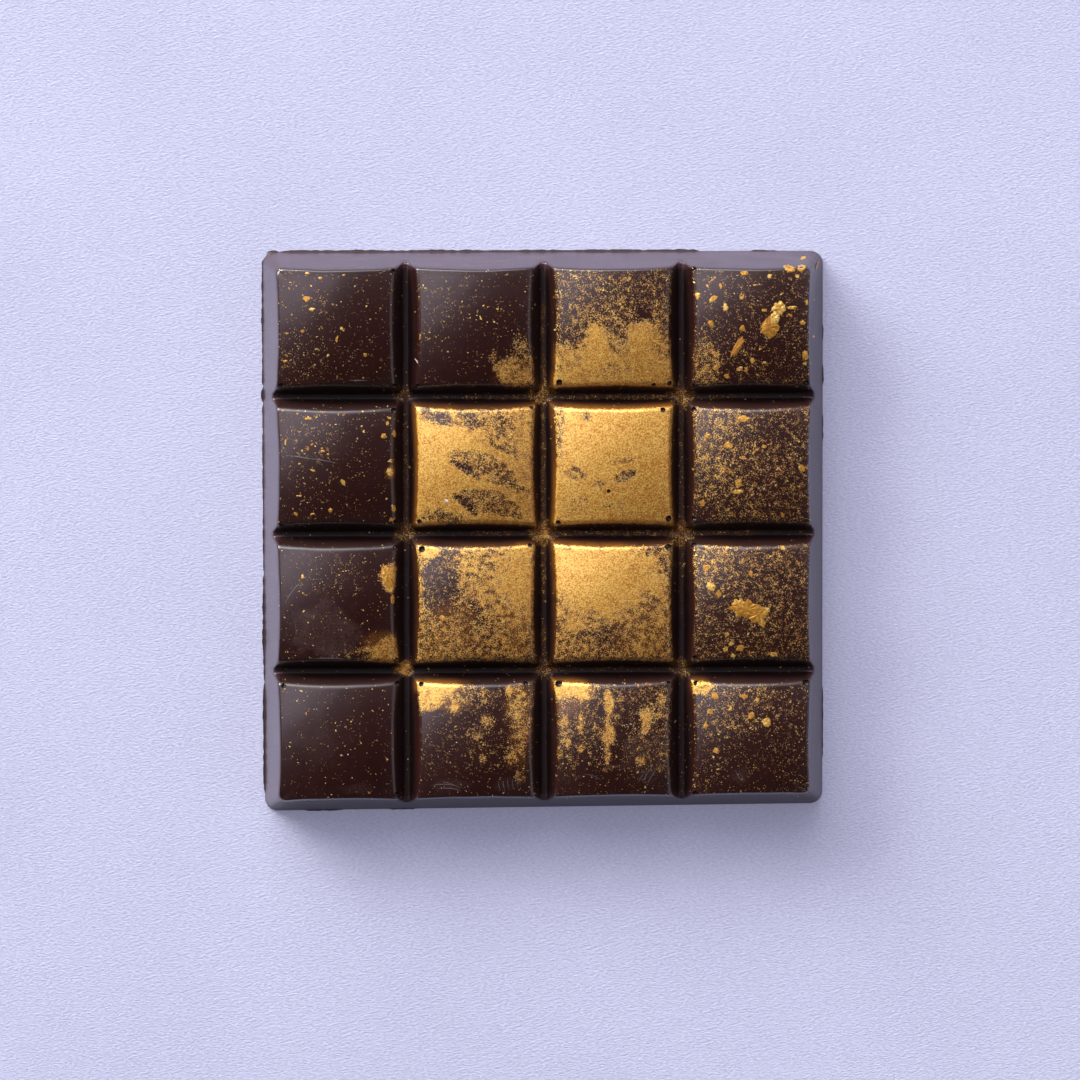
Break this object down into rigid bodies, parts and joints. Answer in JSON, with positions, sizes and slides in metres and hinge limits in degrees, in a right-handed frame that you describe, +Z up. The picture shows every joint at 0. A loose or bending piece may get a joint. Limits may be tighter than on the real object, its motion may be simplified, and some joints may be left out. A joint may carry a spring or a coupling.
{
  "type": "chocolate bar",
  "caption": "Square moulded tablet of dark chocolate with crowned squares, deep break grooves, drafted sides and brushed-on gold dust and flakes.",
  "frame": {"origin": "middle of the outline, on the flat underside", "axes": "+Z up out of the moulded face, X and Y along the two sets of grooves"},
  "size_m": [0.1008, 0.1007, 0.011],
  "materials": {
    "chocolate": "tempered dark chocolate with a soft sheen, dusted and smeared with gold lustre",
    "gold_flake": "thin edible gold lustre scales, satin"
  },
  "bodies": {
    "root": {"chocolate_bar": "chocolate"}
  },
  "joints": []
}
